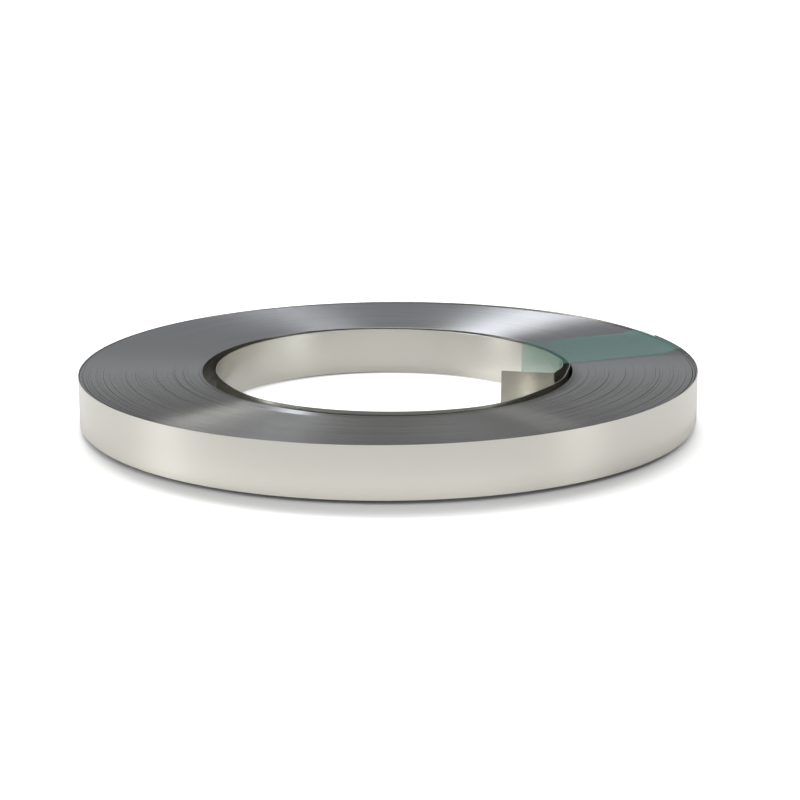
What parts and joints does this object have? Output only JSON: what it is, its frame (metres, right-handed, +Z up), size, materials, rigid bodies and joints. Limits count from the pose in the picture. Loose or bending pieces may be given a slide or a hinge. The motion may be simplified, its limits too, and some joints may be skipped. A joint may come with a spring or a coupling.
{
  "type": "steel strip coil",
  "caption": "Flat pancake coil of bright nickel-plated steel strip with a loose inner turn and bent-in end, held by a band of green tape.",
  "frame": {"origin": "centre of the coil on the surface that it lies on", "axes": "+Z up along the axis of the coil; the tape lies a little behind +X and the bent-in end of the strip a little in front of it, with the front towards -Y"},
  "size_m": [0.13, 0.13, 0.0116],
  "materials": {
    "nickel_plate": "bright nickel plate, satin",
    "green_tape": "translucent adhesive tape"
  },
  "bodies": {
    "root": {"strip_coil": "nickel_plate", "tape_band": "green_tape"}
  },
  "joints": []
}
